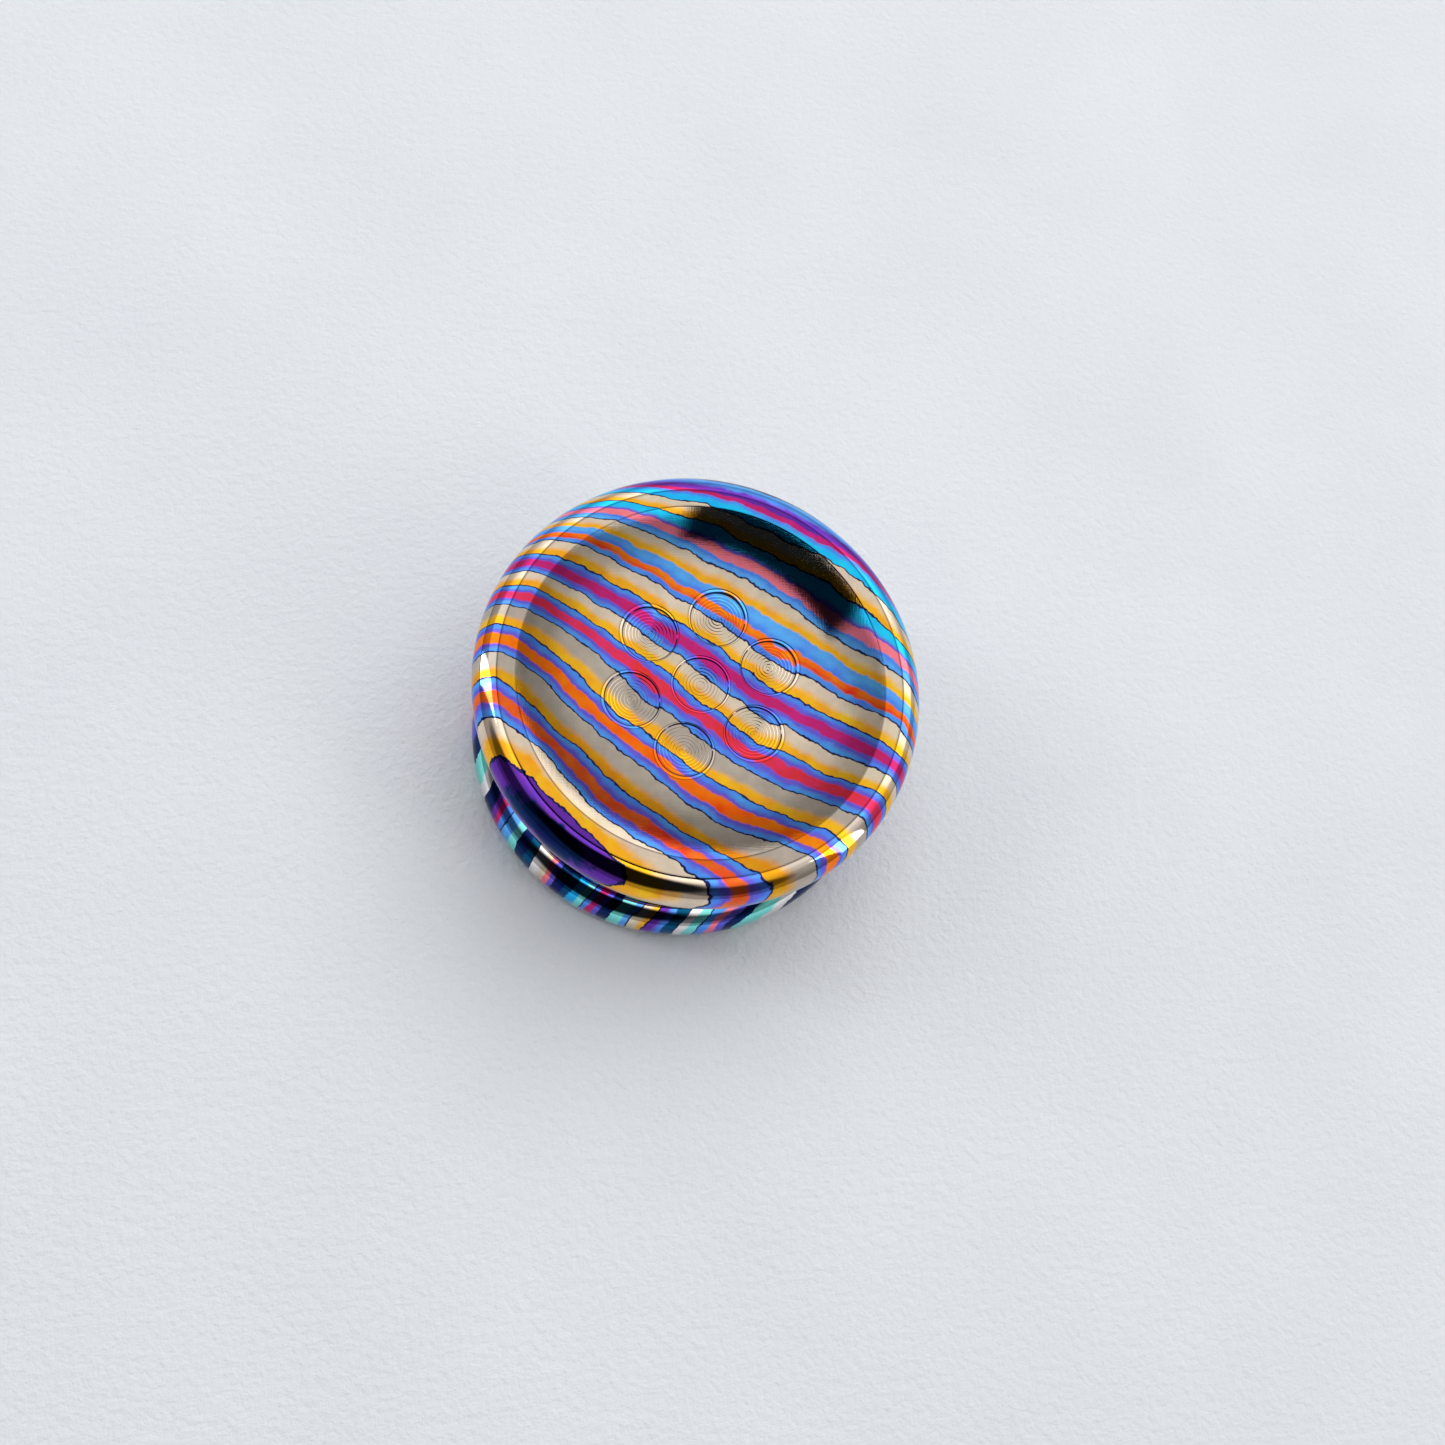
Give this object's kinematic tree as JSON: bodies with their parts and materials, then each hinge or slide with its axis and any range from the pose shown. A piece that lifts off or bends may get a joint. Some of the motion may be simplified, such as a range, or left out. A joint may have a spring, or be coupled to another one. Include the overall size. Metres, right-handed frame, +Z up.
{
  "type": "turning dealer button",
  "caption": "Round dealer button of two dished, round-lipped metal discs with shallow dimples, turning on a hidden ball bearing.",
  "frame": {"origin": "centre of the resting plane, under the lower disc's lip", "axes": "+Z up along the turning axis, from the lower disc to the upper; a ring dimple of the upper disc lies 15 degrees from +X towards +Y"},
  "size_m": [0.032, 0.032, 0.015],
  "materials": {
    "upper_laminate": "mirror-polished laminate of two titanium alloys, heat-coloured in wavy bands of grey-beige, gold, blue and magenta",
    "lower_laminate": "the same polished and heat-coloured titanium laminate, its layers turned against the upper half's",
    "carrier_brass": "turned brass with fine concentric tool marks",
    "magnet_nickel": "bright nickel plating, lightly scuffed",
    "screw_steel": "passivated stainless steel screws",
    "bearing_steel": "ground and polished bearing steel",
    "ball_steel": "lapped bearing balls",
    "cage_steel": "pressed stainless cage",
    "shield_steel": "thin pressed stainless sheet",
    "shield_ring_steel": "drawn spring wire",
    "post_steel": "turned stainless steel",
    "grip_rubber": "black nitrile",
    "shim_steel": "rolled shim stock"
  },
  "bodies": {
    "base": {"lower_half": "lower_laminate", "outer_race": "bearing_steel", "lower_shield": "shield_steel", "upper_shield": "shield_steel", "lower_shield_ring": "shield_ring_steel", "upper_shield_ring": "shield_ring_steel", "lower_carrier": "carrier_brass", "lower_magnets": "magnet_nickel", "lower_carrier_screws": "screw_steel"},
    "rotor": {"inner_race": "bearing_steel"},
    "ball_set": {"cage": "cage_steel", "balls": "ball_steel"},
    "top": {"upper_half": "upper_laminate", "upper_carrier": "carrier_brass", "upper_magnets": "magnet_nickel", "upper_carrier_screws": "screw_steel", "post": "post_steel", "post_screw": "screw_steel", "post_grip_ring": "grip_rubber", "gap_shim": "shim_steel"}
  },
  "joints": [
    {"name": "spin", "type": "hinge", "parent": "base", "child": "rotor", "pos_m": [0, 0, 0.00577], "axis": [0, 0, 1], "continuous": true},
    {"name": "ball_orbit", "type": "hinge", "parent": "base", "child": "ball_set", "pos_m": [0, 0, 0.00577], "axis": [0, 0, 1], "continuous": true},
    {"name": "lift", "type": "slide", "parent": "rotor", "child": "top", "axis": [0, 0, 1], "range_m": [0, 0.02]}
  ],
  "couplings": [
    {"joint": "ball_orbit", "follows": "spin", "ratio": 0.4166}
  ]
}
